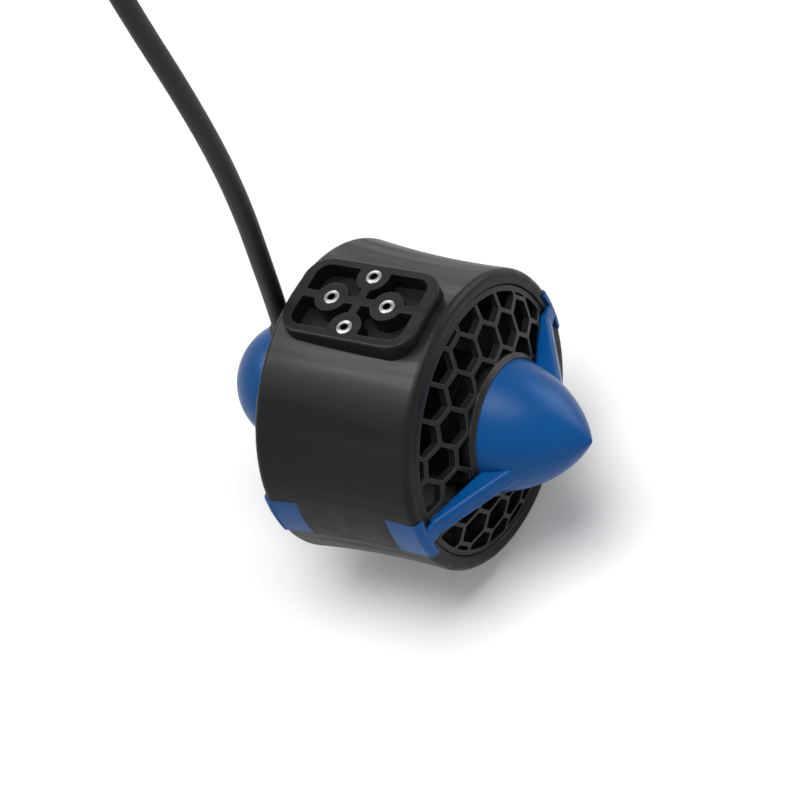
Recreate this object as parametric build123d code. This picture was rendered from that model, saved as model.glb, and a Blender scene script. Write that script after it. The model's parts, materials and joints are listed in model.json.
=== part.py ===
"""Underwater thruster: a ducted propeller on a sealed outrunner motor, with honeycomb guards and a lead.

The model is in millimetres. The origin is the centre of the mounting pad's face, +Z points out of the
pad, and +X runs along the shaft towards the pointed tail. Pieces are drawn round the duct's own centre,
with the shaft on the X axis, and place() moves them to the part's frame.
"""

import os
from math import atan, ceil, cos, hypot, pi, radians, sin, sqrt, tan

from build123d import *

# Duct
DUCT_LENGTH = 54.8
DUCT_REAR_R = 48.0
DUCT_FLARE = 2.7
DUCT_WALL = 7.5
WAIST_SAG = 1.3
DUCT_LIP = 2.4
MOUTH_LIP = 0.8

# Mounting pad and its threaded inserts
PAD_RISE = 0.8
PAD_TO_DUCT = 1.2
PAD_END_ROOM = 3.4
PAD_WIDTH = 29.8
PAD_CORNER = 8.4
PAD_END_WALL = 4.0
PAD_SIDE_WALL = 2.9
PAD_EDGE = 0.7
PAD_ROOT = 0.4
POCKET_DEPTH = 6.0
POCKET_CORNER = 0.7
RIB_WIDTH = 2.8
BOSS_R = 5.5
INSERT_CIRCLE = 20.0
INSERT_R = 2.7
INSERT_LENGTH = 5.5
INSERT_CORE_R = 1.25
INSERT_EDGE = 0.25
INSERT_SEAT_EXTRA = 1.0

# Honeycomb guards
GUARD_SEAT_STEP = 2.4
GUARD_SEAT_DEPTH = 3.0
GUARD_RING_WIDTH = 1.6
GUARD_RING_SET_BACK = 0.6
GUARD_RISE = 6.65
GUARD_BULGE = 0.5
GUARD_THICKNESS = 2.3
CELL_PITCH = 11.2
CELL_RIB = 1.3
CELL_OFFSET_Y = 0.45
CELL_OFFSET_Z = -0.25
COLLAR_WALL = 1.4
COLLAR_LENGTH = 3.0
COLLAR_LIP = 1.4

# Nose and tail brackets
HUB_R = 21.0
HUB_WALL = 2.4
HUB_END_GAP = 2.2
CONE_LENGTH = 28.3
CONE_MID_R = 15.1
CONE_TIP_R = 0.7
NOSE_STRAIGHT = 10.1
TONGUE_LENGTH = 11.4
TONGUE_WIDTH = 15.9
TONGUE_DEPTH = 3.0
WRAP_THICKNESS = 0.9
WRAP_WIDTH = 2.8
WRAP_ROUND = 2.5
STRUT_HEIGHT = 6.2
STRUT_ROUND = 1.6
STRUT_RIM_WIDTH = 3.5
STRUT_RIM_RISE = 0.2
STRUT_HUB_WIDTH = 9.2
STRUT_HUB_INSET = 7.0
STRUT_RUN = 14.1
FOOT_EDGE = 0.6
FOOT_ROUND = 1.0
CAVITY_END_ROOM = 9.6
BUSH_BOSS_R = 5.6
BOSS_WEB = 1.8

# Side covers and the screws under them
COVER_THICKNESS = 1.3
COVER_PAD_ROOM = 2.0
LUG_LENGTH = 7.0
LUG_SCREW_R = 1.2
LUG_SCREW_HEAD_R = 2.2
LUG_SCREW_LENGTH = 4.6
LUG_HOLE_EXTRA = 0.5

# Motor
SHAFT_R = 2.5
BEARING_R = 5.5
BEARING_WIDTH = 5.0
CARRIER_R = 7.0
CARRIER_FLANGE_THICKNESS = 3.0
CARRIER_SCREW_INSET = 6.5
CARRIER_SCREW_R = 1.25
CARRIER_SCREW_HEAD_R = 2.4
CARRIER_SCREW_HEAD = 1.4
CARRIER_SCREW_LENGTH = 7.0
SEAL_R = 0.74
SEAL_GROOVE = 1.5
SEAL_INSET = 2.4
NOSE_FACE_WALL = 7.0
THROAT_WALL = 1.5
BEARING_INSET = 1.0
BEARING_SHOULDER = 1.2
BEARING_SLOT = 0.7
BALL_R = 0.62
BALL_COUNT = 8
STATOR_ROOM = 22.4
YOKE_WALL = 2.0
TOOTH_COUNT = 12
TOOTH_WIDTH = 1.8
TOOTH_TIP = 0.9
WINDING_WALL = 0.85
WINDING_END = 1.3
WINDING_ROOM = 0.3
SLOT_OPENING = 1.2
AIR_GAP = 0.5
MAGNET_COUNT = 14
MAGNET_THICKNESS = 1.5
MAGNET_GAP = 0.5
CAN_WALL = 1.6
CAN_END_THICKNESS = 3.0
ROTOR_RING_THICKNESS = 1.6
ROTOR_END_ROOM = 3.0
SHAFT_END_ROOM = 1.0
SHAFT_CHAMFER = 0.4
TAIL_GAP = 1.2

# Propeller
SLEEVE_STEP = 0.6
SLEEVE_WALL = 3.4
HUB_SLEEVE_END = 4.5
TIP_CLEARANCE = 0.8
BLADE_COUNT = 4
BLADE_PITCH = 82.0
BLADE_ROOT_CHORD = 18.0
BLADE_TIP_CHORD = 17.0
BLADE_ROOT_THICKNESS = 2.8
BLADE_TIP_THICKNESS = 1.3
BLADE_SWEEP = 6.0
BLADE_BELLY = 14.0
BLADE_ROOT_SINK = 4.5
BLADE_BACK_SHARE = 0.75
BLADE_STATIONS = (0.0, 0.25, 0.5, 0.75, 1.0)
PROPELLER_SCREW_COUNT = 3
PROPELLER_SCREW_CIRCLE = 22.0
PROPELLER_SCREW_R = 1.25
PROPELLER_SCREW_HEAD_R = 2.4
PROPELLER_SCREW_HEAD = 1.5
COLLAR_R = 5.5
COLLAR_THICKNESS = 2.0
BUSH_WALL = 1.3
BUSH_LENGTH = 9.0
BUSH_BACK = 2.0
WASHER_R = 5.0
WASHER_THICKNESS = 0.8

# Cable
CABLE_R = 3.25
CABLE_EXIT_X = -38.8
GLAND_BASE_R = 5.6
GLAND_TOP_R = 4.4
GLAND_HEIGHT = 9.0
GLAND_SKIRT = 3.0
SEALED_LENGTH = 24.0
CABLE_LEAN = 12.0
CABLE_FIRST_RUN = 14.0
PHASE_WIRE_R = 0.9
PHASE_WIRE_CIRCLE = 21.0
PHASE_WIRE_SINK = 3.0
COIL_R = 36.0
COIL_TURNS = 3.25
COIL_SPACE = 0.1
COIL_NEAR_X = -28.5
COIL_Z = 172.0
TIE_WIDTH = 5.0
TIE_THICKNESS = 1.0
PLUG_R = 6.6
PLUG_LENGTH = 26.0
PLUG_GRIP_SHARE = 0.55
PLUG_STEP = 1.2
PLUG_EDGE = 0.8
PLUG_TAIL = 26.0
CONTACT_COUNT = 3
CONTACT_R = 0.9
CONTACT_DEPTH = 6.0

# Clearances
FIT = 0.02
RUNNING = 0.05
LOOSE = 0.3
HOLE_ROOM = 0.1
HEAD_ROOM = 0.45
BEND_SHARE = 0.45

# Values worked out from the sizes above
HALF = DUCT_LENGTH / 2
DUCT_FRONT_R = DUCT_REAR_R + DUCT_FLARE
BORE_R = DUCT_REAR_R - DUCT_WALL
PAD_HEIGHT = DUCT_FRONT_R + PAD_RISE
PAD_LENGTH = DUCT_LENGTH - 2 * PAD_END_ROOM
GUARD_SEAT_R = BORE_R + GUARD_SEAT_STEP
GUARD_RING_R = GUARD_SEAT_R - LOOSE
GUARD_OPEN_R = GUARD_RING_R - GUARD_RING_WIDTH
DUCT_MID_R = (DUCT_FRONT_R + DUCT_REAR_R) / 2 - WAIST_SAG
GUARD_FACE = HALF - GUARD_RING_SET_BACK
COLLAR_R_IN = HUB_R + LOOSE
GUARD_TOP = GUARD_FACE + GUARD_RISE
HUB_START = HALF - HUB_END_GAP
CONE_START = GUARD_TOP + COLLAR_LIP
DOME_CENTRE = -CONE_START - NOSE_STRAIGHT
CHAMBER_END = -HUB_START - NOSE_FACE_WALL
HUB_SLEEVE_R = HUB_R - SLEEVE_STEP
SEAL_CIRCLE_R = HUB_R - SEAL_INSET
CARRIER_SCREW_PLACE_R = HUB_R - CARRIER_SCREW_INSET
THROAT_R = CARRIER_SCREW_PLACE_R - CARRIER_SCREW_R - THROAT_WALL
FLANGE_FACE = -HUB_START + CARRIER_FLANGE_THICKNESS
SLEEVE_START = FLANGE_FACE + LOOSE
SLEEVE_END = HUB_START - TAIL_GAP
CAN_END = SLEEVE_END - HUB_SLEEVE_END - CAN_END_THICKNESS
CAN_R = HUB_SLEEVE_R - SLEEVE_WALL
CAN_R_IN = CAN_R - CAN_WALL
MAGNET_R_IN = CAN_R_IN - MAGNET_THICKNESS
STATOR_R = MAGNET_R_IN - AIR_GAP
STATOR_YOKE_R = CARRIER_R + YOKE_WALL
STATOR_LENGTH = 2 * HUB_START - STATOR_ROOM
STATOR_END = CAN_END - ROTOR_END_ROOM
STATOR_START = STATOR_END - STATOR_LENGTH
CAN_START = STATOR_START - ROTOR_END_ROOM
CARRIER_END = CAN_END - SHAFT_END_ROOM
FRONT_BEARING_X = -HUB_START + BEARING_INSET
REAR_BEARING_X = CARRIER_END - BEARING_WIDTH
RACE_R = (SHAFT_R + RUNNING + BEARING_R) / 2
BUSH_START = HUB_START + WASHER_THICKNESS
PROPELLER_R = BORE_R - TIP_CLEARANCE
COIL_X = COIL_NEAR_X - COIL_R
COIL_PITCH = 2 * CABLE_R + COIL_SPACE
TAIL_Y = COIL_PITCH * COIL_TURNS
TAIL_Z = COIL_Z + COIL_R
EVERY_QUARTER = (0, 90, 180, 270)
SIDES = (1, -1)

# The lead's route above its gland, in the part's frame
EXIT_X = PAD_TO_DUCT + CABLE_EXIT_X
EXIT_Z = HUB_R + GLAND_HEIGHT - PAD_HEIGHT
LEAN_X = CABLE_FIRST_RUN * sin(radians(CABLE_LEAN))
LEAN_Z = CABLE_FIRST_RUN * cos(radians(CABLE_LEAN))
# share of the coil's height, and how far towards the tail from the coil's near side
LEAD_SWAY = [(0.075, -2.4), (0.21, 1.8), (0.35, 3.9), (0.5, 3.3), (0.66, 0.9), (0.83, 0.1), (1.0, 0.0)]
CABLE_ROUTE = [(EXIT_X, 0.0, EXIT_Z), (EXIT_X + LEAN_X, 0.0, EXIT_Z + LEAN_Z)]
CABLE_ROUTE += [(COIL_NEAR_X + sway, 0.0, share * COIL_Z) for share, sway in LEAD_SWAY]


def place(shape):
    """Moves a shape from the duct's frame to the part's frame."""
    return Pos(PAD_TO_DUCT, 0, -PAD_HEIGHT) * shape


def disc(start, end, radius):
    """Solid cylinder on the shaft's axis, from one X to another."""
    rod = Cylinder(radius, end - start, align=(Align.CENTER, Align.CENTER, Align.MIN))
    return Pos(start, 0, 0) * Rot(0, 90, 0) * rod


def ring(start, end, outer, inner):
    """Plain ring on the shaft's axis."""
    return disc(start, end, outer) - disc(start - 1, end + 1, inner)


def turned(points):
    """Solid of revolution about the shaft's axis, from a closed outline of (X, radius)."""
    return revolve(make_face(Polyline(*points, close=True)), Axis.X)


def around(shape, count, first=0.0):
    """Copies of a shape, evenly spaced round the shaft's axis."""
    return [Rot(first + 360 * i / count, 0, 0) * shape for i in range(count)]


def joined(shapes):
    """Union of a list of shapes."""
    whole = shapes[0]
    for shape in shapes[1:]:
        whole = whole + shape
    return whole


def separate(shapes):
    """One node of several solids that stay apart."""
    return Compound([solid for shape in shapes for solid in shape.solids()])


def waist_edge(depth):
    """Line of the duct's outside, seen from the side, a given depth below the surface."""
    return ThreePointArc((-HALF, DUCT_FRONT_R - depth), (0, DUCT_MID_R - depth), (HALF, DUCT_REAR_R - depth))


def duct_skin(top, bottom):
    """Layer of the duct's wall between two depths, over its whole length."""
    upper = waist_edge(top)
    lower = waist_edge(bottom)
    ends = [Line(upper @ 0, lower @ 0), Line(upper @ 1, lower @ 1)]
    return revolve(make_face([upper, lower] + ends), Axis.X)


def side_block(start, end, width, side):
    """Block that cuts one side's strip, across Z, out of a layer of the duct."""
    length = end - start
    block = Box(length, 2 * DUCT_FRONT_R, width, align=(Align.MIN, Align.MIN, Align.CENTER))
    turn = 0 if side > 0 else 180
    return Rot(turn, 0, 0) * Pos(start, 0, 0) * block


def insert_places():
    """Centres of the four inserts, round the middle of the pad."""
    radius = INSERT_CIRCLE / 2
    return [(radius * cos(radians(a)), radius * sin(radians(a))) for a in EVERY_QUARTER]


def pad_block():
    """Raised pad with its four pockets, in the duct's frame."""
    outline = RectangleRounded(PAD_LENGTH, PAD_WIDTH, PAD_CORNER)
    root = GUARD_SEAT_R + PAD_ROOT
    block = extrude(Pos(-PAD_TO_DUCT, 0, root) * outline, PAD_HEIGHT - root)
    return fillet(block.faces().sort_by(Axis.Z)[-1].edges(), PAD_EDGE)


def pad_pockets():
    """The four pockets between the pad's ribs, bosses and walls."""
    length = PAD_LENGTH - 2 * PAD_END_WALL
    width = PAD_WIDTH - 2 * PAD_SIDE_WALL
    floor_area = RectangleRounded(length, width, PAD_CORNER - PAD_END_WALL)
    floor_area -= Rectangle(length, RIB_WIDTH)
    floor_area -= Rectangle(RIB_WIDTH, width)
    for x, y in insert_places():
        floor_area -= Pos(x, y) * Circle(BOSS_R)
    floor_area = fillet(floor_area.vertices(), POCKET_CORNER)
    return extrude(Pos(-PAD_TO_DUCT, 0, PAD_HEIGHT - POCKET_DEPTH) * floor_area, POCKET_DEPTH + 1)


def insert_holes():
    """Seats of the inserts in the pad's bosses."""
    depth = INSERT_LENGTH + INSERT_SEAT_EXTRA
    hole = Cylinder(INSERT_R + FIT, depth + 1, align=(Align.CENTER, Align.CENTER, Align.MIN))
    return [Pos(x - PAD_TO_DUCT, y, PAD_HEIGHT - depth) * hole for x, y in insert_places()]


def lug_screw_x():
    """Distance from the duct's middle to the screws that hold the brackets' tongues."""
    return HALF - TONGUE_LENGTH - LUG_LENGTH / 2


def lug_screw(radius, head_radius, length, x, side):
    """Countersunk screw with its head's top just under the side cover."""
    top = skin_radius(x) - COVER_THICKNESS - HEAD_ROOM
    head = Cone(radius, head_radius, head_radius - radius, align=(Align.CENTER, Align.CENTER, Align.MAX))
    shank = Cylinder(radius, length, align=(Align.CENTER, Align.CENTER, Align.MAX))
    turn = -90 if side > 0 else 90
    return Pos(x, side * top, 0) * Rot(turn, 0, 0) * (head + shank)


def duct_shell():
    """Duct with its waisted outside, guard seats, side channels, pad and screw holes."""
    outer = waist_edge(0)
    seat = HALF - GUARD_SEAT_DEPTH
    inside = Polyline(
        outer @ 1,
        (HALF, GUARD_SEAT_R),
        (seat, GUARD_SEAT_R),
        (seat, BORE_R),
        (-seat, BORE_R),
        (-seat, GUARD_SEAT_R),
        (-HALF, GUARD_SEAT_R),
        outer @ 0,
    )
    section = make_face([outer, inside])
    lips = [v for v in section.vertices() if abs(v.X) > seat + 1 and v.Y > GUARD_SEAT_R + 1]
    section = fillet(lips, DUCT_LIP)
    mouths = [v for v in section.vertices() if abs(v.X) > HALF - 0.01 and v.Y < GUARD_SEAT_R + 0.01]
    section = fillet(mouths, MOUTH_LIP)
    body = revolve(section, Axis.X) + pad_block()
    body = body - pad_pockets()
    for hole in insert_holes():
        body = body - hole
    channel = duct_skin(-DUCT_LIP, TONGUE_DEPTH)
    for side in SIDES:
        body = body - (channel & side_block(-HALF - 1, HALF + 1, TONGUE_WIDTH, side))
        for end in SIDES:
            x = end * lug_screw_x()
            hole = lug_screw(LUG_SCREW_R + FIT, LUG_SCREW_HEAD_R, LUG_SCREW_LENGTH + LUG_HOLE_EXTRA, x, side)
            body = body - hole
    return body


def threaded_inserts():
    """Four metal inserts with a chamfered rim, seated flush in the bosses."""
    body = Cylinder(INSERT_R, INSERT_LENGTH, align=(Align.CENTER, Align.CENTER, Align.MAX))
    body = chamfer(body.faces().sort_by(Axis.Z)[-1].edges(), INSERT_EDGE)
    body = body - Cylinder(INSERT_CORE_R, 3 * INSERT_LENGTH)
    return separate([Pos(x - PAD_TO_DUCT, y, PAD_HEIGHT) * body for x, y in insert_places()])


def cell_grid():
    """Hexagonal cells of the guard, as a flat sketch on the YZ plane."""
    outer = GUARD_OPEN_R
    inner = COLLAR_R_IN + COLLAR_WALL
    column_step = CELL_PITCH * sqrt(3) / 2
    cell = RegularPolygon((CELL_PITCH - CELL_RIB) / 2, 6, major_radius=False)
    reach = ceil(GUARD_RING_R / column_step) + 1
    cells = []
    for column in range(-reach, reach + 1):
        for row in range(-reach, reach + 1):
            y = CELL_OFFSET_Y + column * column_step
            z = CELL_OFFSET_Z + (row + (column % 2) / 2) * CELL_PITCH
            if inner - CELL_PITCH / 2 < hypot(y, z) < outer + CELL_PITCH / 2:
                cells.append(Pos(y, z) * cell)
    return (Sketch() + cells) & (Circle(outer) - Circle(inner))


def rear_grille():
    """Dished honeycomb guard: seated rim, thin domed lattice and a collar round the tail."""
    outer = GUARD_RING_R - GUARD_RING_WIDTH / 2
    inner = COLLAR_R_IN + COLLAR_WALL / 2
    mid = ((GUARD_FACE + GUARD_TOP) / 2 + GUARD_BULGE, (outer + inner) / 2)
    top = ThreePointArc((GUARD_FACE, outer), mid, (GUARD_TOP, inner))
    under = Pos(-GUARD_THICKNESS, 0, 0) * top
    ends = [Line(top @ 0, under @ 0), Line(top @ 1, under @ 1)]
    plate = revolve(make_face([top, under] + ends), Axis.X)
    cutter = extrude(Plane.YZ.offset(HALF / 2) * (cell_grid() + strut_gaps()), DUCT_LENGTH)
    rim = ring(HALF - GUARD_SEAT_DEPTH, GUARD_FACE, GUARD_RING_R, GUARD_OPEN_R)
    collar_r = COLLAR_R_IN + COLLAR_WALL
    collar_start = GUARD_TOP - COLLAR_LENGTH
    collar = turned(
        [(collar_start, COLLAR_R_IN), (collar_start, collar_r), (GUARD_TOP, collar_r), (CONE_START, COLLAR_R_IN)]
    )
    body = (plate - cutter) + rim + collar
    for side in SIDES:
        body = body - strut(LOOSE, side)
    return body


def strut_gaps():
    """Slots for the struts across the guard, as a flat sketch between its ring and its collar."""
    band = Rectangle(2 * GUARD_RING_R, STRUT_HEIGHT + 2 * LOOSE)
    return band & (Circle(GUARD_OPEN_R) - Circle(COLLAR_R_IN + COLLAR_WALL))


def front_grille():
    """The same guard, turned round to face the nose."""
    return mirror(rear_grille(), Plane.YZ)


def skin_radius(x):
    """Outside radius of the duct at one X."""
    chord = (DUCT_FRONT_R + DUCT_REAR_R) / 2 + (DUCT_REAR_R - DUCT_FRONT_R) / 2 * x / HALF
    return chord - WAIST_SAG * (1 - (x / HALF) ** 2)


def strut(room, side):
    """Rounded bar from the rim to inside the hub, larger all round by the room."""
    rim_end = Vector(HALF + STRUT_RIM_RISE, GUARD_OPEN_R, 0)
    hub_end = Vector(HALF + STRUT_RIM_RISE + STRUT_RUN, HUB_R - STRUT_HUB_INSET, 0)
    along = hub_end - rim_end
    across = Vector(-along.Y, along.X, 0).normalized()
    height = STRUT_HEIGHT + 2 * room
    ends = []
    for origin, width in ((rim_end, STRUT_RIM_WIDTH), (hub_end, STRUT_HUB_WIDTH)):
        shape = RectangleRounded(width + 2 * room, height, STRUT_ROUND)
        ends.append((Plane(origin=origin, x_dir=across, z_dir=along) * shape).face())
    bar = loft(ends)
    return bar if side > 0 else mirror(bar, Plane.XZ)


def strut_foot(wrap_r, side):
    """Foot of a strut on the duct's end, from the bar's rim end out to the wrap."""
    slope = atan((GUARD_OPEN_R - HUB_R + STRUT_HUB_INSET) / STRUT_RUN)
    top_x = HALF + STRUT_RIM_RISE + STRUT_RIM_WIDTH / 2 * sin(slope)
    top_r = GUARD_OPEN_R + STRUT_RIM_WIDTH / 2 * cos(slope)
    face_x = HALF + WRAP_THICKNESS
    outline = Polyline(
        (HALF, GUARD_OPEN_R - FOOT_EDGE),
        (HALF, wrap_r + FOOT_EDGE),
        (face_x, wrap_r + FOOT_EDGE),
        (top_x, top_r),
        (HALF + STRUT_RIM_RISE, GUARD_OPEN_R - FOOT_EDGE),
        close=True,
    )
    foot = extrude(make_face(outline), STRUT_HEIGHT / 2, both=True)
    long_edges = [edge for edge in foot.edges() if abs(edge.tangent_at(0).Z) < 0.5]
    foot = fillet(sorted(long_edges, key=lambda edge: edge.center().X)[-2:], FOOT_ROUND)
    return foot if side > 0 else mirror(foot, Plane.XZ)


def bracket_arm(end, side):
    """One strut with its foot, rim wrap, side tongue and screw lug; end is 1 at the tail and -1 at the nose."""
    fit_depth = TONGUE_DEPTH - FIT
    width = TONGUE_WIDTH - 2 * FIT
    rim_r = DUCT_REAR_R if end > 0 else DUCT_FRONT_R
    face_x = HALF + WRAP_THICKNESS
    wrap_start = face_x - WRAP_ROUND
    wrap_r = rim_r - WRAP_WIDTH
    tongue_start = HALF - TONGUE_LENGTH
    tongue_ends = sorted([end * tongue_start, end * (wrap_start + 2 * FIT)])
    tongue = duct_skin(0, fit_depth) & side_block(*tongue_ends, width, side)
    lug_ends = sorted([end * (tongue_start - LUG_LENGTH), end * (tongue_start + 1)])
    lug = duct_skin(COVER_THICKNESS + FIT, fit_depth) & side_block(*lug_ends, width, side)
    section = make_face(
        Polyline((wrap_start, wrap_r), (wrap_start, rim_r), (face_x, rim_r), (face_x, wrap_r), close=True)
    )
    corner = section.vertices().sort_by(Axis.X)[-2:].sort_by(Axis.Y)[-1]
    section = fillet([corner], WRAP_ROUND - FIT)
    wrap = revolve(section, Axis.X) & side_block(wrap_start, HALF + WRAP_ROUND, width, side)
    outside = joined([wrap, strut_foot(wrap_r, side), strut(0, side)])
    if end < 0:
        outside = mirror(outside, Plane.YZ)
    arm = tongue + lug + outside
    x = end * lug_screw_x()
    return arm - lug_screw(LUG_SCREW_R + HOLE_ROOM, LUG_SCREW_HEAD_R + HOLE_ROOM, LUG_SCREW_LENGTH, x, side)


def tail_bracket():
    """Pointed tail cone, hollow from the front, with a webbed bush boss, struts and tongues."""
    cone_end = CONE_START + CONE_LENGTH
    mid_x = (CONE_START + cone_end) / 2
    shoulder_x = cone_end - CONE_TIP_R / 2
    outside = [
        Line((HUB_START, 0), (HUB_START, HUB_R)),
        Line((HUB_START, HUB_R), (CONE_START, HUB_R)),
        ThreePointArc((CONE_START, HUB_R), (mid_x, CONE_MID_R), (shoulder_x, CONE_TIP_R)),
        Line((shoulder_x, CONE_TIP_R), (cone_end, 0)),
        Line((cone_end, 0), (HUB_START, 0)),
    ]
    shell = revolve(make_face(outside), Axis.X)
    inner_r = HUB_R - HUB_WALL
    cavity = turned(
        [
            (HUB_START - 1, 0),
            (HUB_START - 1, inner_r),
            (CONE_START, inner_r),
            (mid_x - HUB_WALL, CONE_MID_R - HUB_WALL),
            (cone_end - CAVITY_END_ROOM, HUB_WALL),
            (cone_end - CAVITY_END_ROOM, 0),
        ]
    )
    arms = [bracket_arm(1, side) for side in SIDES]
    body = joined([shell] + arms) - cavity
    boss_start = HUB_START + WASHER_THICKNESS
    boss_end = BUSH_START + BUSH_LENGTH + BUSH_BACK
    boss = disc(boss_start, boss_end, BUSH_BOSS_R)
    web = Box(boss_end - boss_start, inner_r + 1, BOSS_WEB, align=(Align.MIN, Align.MIN, Align.CENTER))
    webs = around(Pos(boss_start, 0, 0) * web, 4, 45)
    body = joined([body, boss] + webs)
    return body - disc(HUB_START - 1, BUSH_START + BUSH_LENGTH, SHAFT_R + RUNNING + BUSH_WALL + FIT)


def nose_bracket():
    """Domed nose with a potting chamber, seal groove, cable hole, struts and tongues."""
    arms = [bracket_arm(-1, side) for side in SIDES]
    body = joined([domed(-HUB_START, HUB_R)] + arms) - chamber(0)
    body = body - disc(CHAMBER_END - 1, 0, THROAT_R)
    groove = (SEAL_CIRCLE_R + SEAL_GROOVE / 2, SEAL_CIRCLE_R - SEAL_GROOVE / 2)
    body = body - ring(-HUB_START - SEAL_GROOVE, -HUB_START + 1, *groove)
    for y, z in circle_places(CARRIER_SCREW_PLACE_R, 4, 45):
        body = body - rod_at(CHAMBER_END - 1, -HUB_START + 1, CARRIER_SCREW_R + FIT, y, z)
    return body - cable_rod(0, SEALED_LENGTH, CABLE_R + FIT)


def domed(end, radius):
    """Cylinder that ends in half a sphere at the nose."""
    tip = DOME_CENTRE - radius
    half_way = radius * sqrt(0.5)
    outline = [
        Line((tip, 0), (end, 0)),
        Line((end, 0), (end, radius)),
        Line((end, radius), (DOME_CENTRE, radius)),
        ThreePointArc((DOME_CENTRE, radius), (DOME_CENTRE - half_way, half_way), (tip, 0)),
    ]
    return revolve(make_face(outline), Axis.X)


def chamber(gap):
    """Room inside the nose, or the resin in it when a gap is left to the walls."""
    return domed(CHAMBER_END - gap, HUB_R - HUB_WALL - gap)


def at_exit(shape):
    """Moves a shape drawn on the Z axis to the leaning gland, with its origin at the gland's top."""
    return Pos(CABLE_EXIT_X, 0, HUB_R + GLAND_HEIGHT) * Rot(0, CABLE_LEAN, 0) * shape


def cable_rod(above, below, radius):
    """Rod on the gland's axis, from a height above its top to a depth below it."""
    rod = Cylinder(radius, above + below, align=(Align.CENTER, Align.CENTER, Align.MIN))
    return at_exit(Pos(0, 0, -below) * rod)


def rod_at(start, end, radius, y, z):
    """Rod parallel to the shaft."""
    return Pos(0, y, z) * disc(start, end, radius)


def circle_places(radius, count, first=0.0):
    """Evenly spaced (Y, Z) places on a circle about the shaft."""
    turns = [radians(first + 360 * i / count) for i in range(count)]
    return [(radius * cos(a), radius * sin(a)) for a in turns]


def side_covers():
    """Covers that fill the side channels between the tongues, over the screw lugs."""
    covers = []
    reach = HALF - TONGUE_LENGTH - FIT
    width = TONGUE_WIDTH - 2 * FIT
    for side in SIDES:
        plate = duct_skin(0, COVER_THICKNESS) & side_block(-reach, reach, width, side)
        half_pad = HALF - TONGUE_LENGTH - LUG_LENGTH - COVER_PAD_ROOM
        pad = duct_skin(0, TONGUE_DEPTH - FIT) & side_block(-half_pad, half_pad, width, side)
        covers.append(plate + pad)
    return separate(covers)


def bracket_screws():
    """Countersunk screws through the lugs into the duct's wall."""
    screws = []
    for side in SIDES:
        for end in SIDES:
            x = end * lug_screw_x()
            screws.append(lug_screw(LUG_SCREW_R, LUG_SCREW_HEAD_R, LUG_SCREW_LENGTH, x, side))
    return separate(screws)


def stator_carrier():
    """Flanged tube that holds both bearings and carries the stator."""
    body = disc(-HUB_START, FLANGE_FACE, HUB_SLEEVE_R) + disc(-HUB_START, CARRIER_END, CARRIER_R)
    body = body - disc(-HUB_START - 1, CARRIER_END + 1, BEARING_R - BEARING_SHOULDER)
    body = body - disc(FRONT_BEARING_X, FRONT_BEARING_X + BEARING_WIDTH, BEARING_R + FIT)
    body = body - disc(-HUB_START - 1, FRONT_BEARING_X + 1, BEARING_R + FIT)
    body = body - disc(REAR_BEARING_X, CARRIER_END + 1, BEARING_R + FIT)
    for y, z in circle_places(CARRIER_SCREW_PLACE_R, 4, 45):
        body = body - rod_at(-HUB_START - 1, FLANGE_FACE + 1, CARRIER_SCREW_R + HOLE_ROOM, y, z)
        seat = FLANGE_FACE - CARRIER_SCREW_HEAD - HOLE_ROOM
        body = body - rod_at(seat, FLANGE_FACE + 1, CARRIER_SCREW_HEAD_R + HOLE_ROOM, y, z)
    for y, z in circle_places(PHASE_WIRE_CIRCLE / 2, 3):
        body = body - rod_at(-HUB_START - 1, FLANGE_FACE + 1, PHASE_WIRE_R + FIT, y, z)
    return body


def carrier_screws():
    """Screws through the carrier's flange into the nose."""
    screws = []
    seat = FLANGE_FACE - CARRIER_SCREW_HEAD - HOLE_ROOM
    for y, z in circle_places(CARRIER_SCREW_PLACE_R, 4, 45):
        shank = rod_at(seat - CARRIER_SCREW_LENGTH, seat, CARRIER_SCREW_R, y, z)
        screws.append(shank + rod_at(seat, seat + CARRIER_SCREW_HEAD, CARRIER_SCREW_HEAD_R, y, z))
    return separate(screws)


def carrier_seal():
    """O-ring in the groove of the nose's end face."""
    loop = Torus(SEAL_CIRCLE_R, SEAL_R)
    return Pos(-HUB_START - SEAL_GROOVE / 2, 0, 0) * Rot(0, 90, 0) * loop


def stator_core():
    """Slotted core: a yoke with twelve teeth and their tips."""
    length = STATOR_LENGTH
    pole_r = STATOR_R - TOOTH_TIP
    core = ring(STATOR_START, STATOR_END, STATOR_YOKE_R, CARRIER_R + FIT)
    tooth = Box(length, pole_r - CARRIER_R - 1, TOOTH_WIDTH, align=(Align.MIN, Align.MIN, Align.CENTER))
    tooth = Pos(STATOR_START, CARRIER_R + 1, 0) * tooth
    tip_width = 2 * pi * pole_r / TOOTH_COUNT - SLOT_OPENING
    tip = Pos(STATOR_START, 0, 0) * Box(length, STATOR_R + 1, tip_width, align=(Align.MIN, Align.MIN, Align.CENTER))
    tip = tip & ring(STATOR_START, STATOR_END, STATOR_R, pole_r - 0.1)
    return joined([core] + around(tooth + tip, TOOTH_COUNT))


def stator_windings():
    """One rounded coil round each tooth."""
    inner = STATOR_YOKE_R + FIT
    outer = STATOR_R - TOOTH_TIP - WINDING_ROOM
    height = outer - inner
    width = TOOTH_WIDTH + 2 * WINDING_WALL
    length = STATOR_LENGTH + 2 * WINDING_END
    block = Box(length, height, width)
    block = fillet(block.edges().filter_by(Axis.Y), WINDING_WALL)
    block = block - Box(STATOR_LENGTH + 2 * FIT, height + 2, TOOTH_WIDTH + 2 * FIT)
    middle = (STATOR_START + STATOR_END) / 2
    return separate(around(Pos(middle, (inner + outer) / 2, 0) * block, TOOTH_COUNT))


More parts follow.
